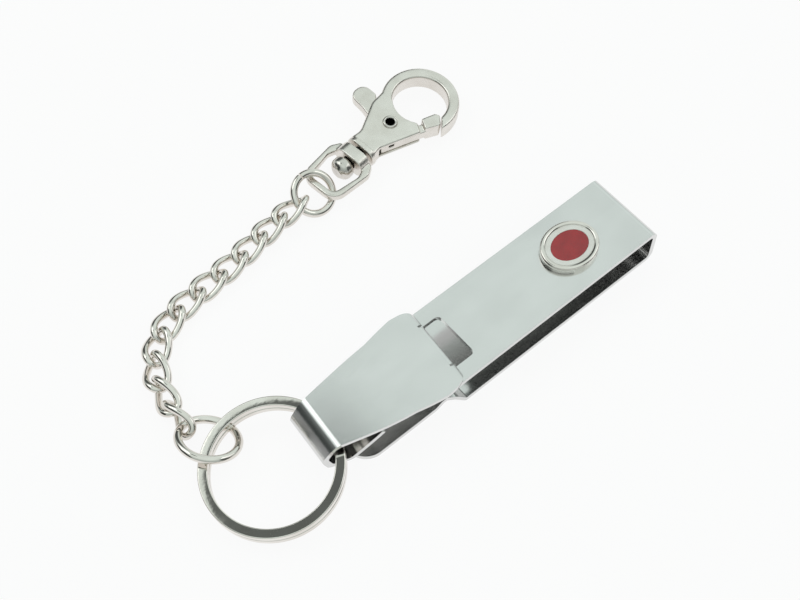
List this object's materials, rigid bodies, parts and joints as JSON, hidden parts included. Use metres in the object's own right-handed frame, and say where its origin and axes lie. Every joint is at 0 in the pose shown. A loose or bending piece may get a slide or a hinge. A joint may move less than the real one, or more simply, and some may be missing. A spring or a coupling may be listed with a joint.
{
  "type": "belt key clip",
  "caption": "Folded steel belt clip with an oval badge, carrying a hook-on hanger, split ring, curb chain and swivelling trigger clasp for keys.",
  "frame": {"origin": "on the back leaf's outer face, at the middle of its width and of the belt slot's length", "axes": "+X along the belt slot towards the closed fold, +Y across the clip towards the chain, +Z out of the back leaf towards the badge"},
  "size_m": [0.1052, 0.0738, 0.0114],
  "materials": {
    "satin_steel": "satin stainless strip, polished along its length",
    "badge_metal": "bright nickel plate on the badge rim",
    "white_enamel": "white hard enamel, polished flush",
    "red_enamel": "red hard enamel, polished flush",
    "nickel_wire": "bright nickel plated steel wire",
    "nickel_casting": "bright nickel plated casting",
    "rivet_steel": "plain steel, peened",
    "spring_steel": "plain spring wire"
  },
  "bodies": {
    "belt_clip": {"belt_clip": "satin_steel", "badge_base": "badge_metal", "badge_border_enamel": "white_enamel", "badge_field_enamel": "red_enamel"},
    "hanger": {"hanger": "satin_steel"},
    "split_ring": {"split_ring": "nickel_wire"},
    "ring_link": {"ring_link": "nickel_wire"},
    "chain_link_01": {"chain_link_01": "nickel_wire"},
    "chain_link_02": {"chain_link_02": "nickel_wire"},
    "chain_link_03": {"chain_link_03": "nickel_wire"},
    "chain_link_04": {"chain_link_04": "nickel_wire"},
    "chain_link_05": {"chain_link_05": "nickel_wire"},
    "chain_link_06": {"chain_link_06": "nickel_wire"},
    "chain_link_07": {"chain_link_07": "nickel_wire"},
    "chain_link_08": {"chain_link_08": "nickel_wire"},
    "chain_link_09": {"chain_link_09": "nickel_wire"},
    "chain_link_10": {"chain_link_10": "nickel_wire"},
    "chain_link_11": {"chain_link_11": "nickel_wire"},
    "swivel_link": {"swivel_link": "nickel_wire"},
    "swivel_eye": {"swivel_eye": "nickel_casting"},
    "clasp": {"clasp_body": "nickel_casting", "swivel_rivet": "rivet_steel", "gate_rivet": "rivet_steel", "gate_spring": "spring_steel"},
    "gate": {"gate_lever": "nickel_casting"}
  },
  "joints": [
    {"name": "hanger_hinge", "type": "hinge", "parent": "belt_clip", "child": "hanger", "pos_m": [-0.0255, 0.0001, 0.0103], "axis": [0.0785, 0.9969, 0], "range_deg": [0, 18]},
    {"name": "ring_swing", "type": "hinge", "parent": "hanger", "child": "split_ring", "pos_m": [-0.05121, 0.00212, 0.00555], "axis": [0.0785, 0.9969, 0], "range_deg": [-60, 120]},
    {"name": "ring_link_swing", "type": "hinge", "parent": "split_ring", "child": "ring_link", "pos_m": [-0.06963, 0.01508, 0.00322], "axis": [-0.9063, -0.4067, -0.1145], "range_deg": [-90, 5]},
    {"name": "link_01_bend", "type": "hinge", "parent": "ring_link", "child": "chain_link_01", "pos_m": [-0.07188, 0.02014, 0.00368], "axis": [0, 0, 1], "range_deg": [-9, 15]},
    {"name": "link_02_bend", "type": "hinge", "parent": "chain_link_01", "child": "chain_link_02", "pos_m": [-0.07147, 0.02612, 0.00336], "axis": [-0.9925, 0.1218, 0], "range_deg": [-20, 20]},
    {"name": "link_03_bend", "type": "hinge", "parent": "chain_link_02", "child": "chain_link_03", "pos_m": [-0.07043, 0.03201, 0.00295], "axis": [0, 0, -1], "range_deg": [-20, 6]},
    {"name": "link_04_bend", "type": "hinge", "parent": "chain_link_03", "child": "chain_link_04", "pos_m": [-0.06771, 0.03734, 0.00242], "axis": [0.7986, -0.6019, 0], "range_deg": [-12, 12]},
    {"name": "link_05_bend", "type": "hinge", "parent": "chain_link_04", "child": "chain_link_05", "pos_m": [-0.06334, 0.04142, 0.002], "axis": [0, 0, 1], "range_deg": [-9, 20]},
    {"name": "link_06_bend", "type": "hinge", "parent": "chain_link_05", "child": "chain_link_06", "pos_m": [-0.05777, 0.04367, 0.0019], "axis": [-0.2588, 0.9659, 0], "range_deg": [-15, 15]},
    {"name": "link_07_bend", "type": "hinge", "parent": "chain_link_06", "child": "chain_link_07", "pos_m": [-0.05183, 0.0445, 0.0019], "axis": [0, 0, -1], "range_deg": [-20, 20]},
    {"name": "link_08_bend", "type": "hinge", "parent": "chain_link_07", "child": "chain_link_08", "pos_m": [-0.04585, 0.04503, 0.0019], "axis": [0.1045, -0.9945, 0], "range_deg": [-18, 18]},
    {"name": "link_09_bend", "type": "hinge", "parent": "chain_link_08", "child": "chain_link_09", "pos_m": [-0.0399, 0.04576, 0.00211], "axis": [0, 0, 1], "range_deg": [-20, 20]},
    {"name": "link_10_bend", "type": "hinge", "parent": "chain_link_09", "child": "chain_link_10", "pos_m": [-0.03399, 0.04669, 0.00253], "axis": [-0.1392, 0.9903, 0], "range_deg": [-15, 15]},
    {"name": "link_11_bend", "type": "hinge", "parent": "chain_link_10", "child": "chain_link_11", "pos_m": [-0.02806, 0.04742, 0.00305], "axis": [0, 0, -1], "range_deg": [-18, 15]},
    {"name": "swivel_link_bend", "type": "hinge", "parent": "chain_link_11", "child": "swivel_link", "pos_m": [-0.02208, 0.04763, 0.00357], "axis": [0.0349, -0.9994, 0], "range_deg": [-15, 20]},
    {"name": "eye_swing", "type": "hinge", "parent": "swivel_link", "child": "swivel_eye", "pos_m": [-0.01706, 0.04796, 0.00357], "axis": [-0.1219, 0.9925, 0], "range_deg": [-28, 25]},
    {"name": "swivel_spin", "type": "hinge", "parent": "swivel_eye", "child": "clasp", "pos_m": [0.00477, 0.05064, 0.00357], "axis": [0.9925, 0.1219, 0], "continuous": true},
    {"name": "gate_hinge", "type": "hinge", "parent": "clasp", "child": "gate", "pos_m": [0.00477, 0.05064, 0.00357], "axis": [0.0106, -0.0865, 0.9962], "range_deg": [0, 25], "stiffness_Nm_per_rad": 0.02, "springref_deg": -5.73}
  ]
}
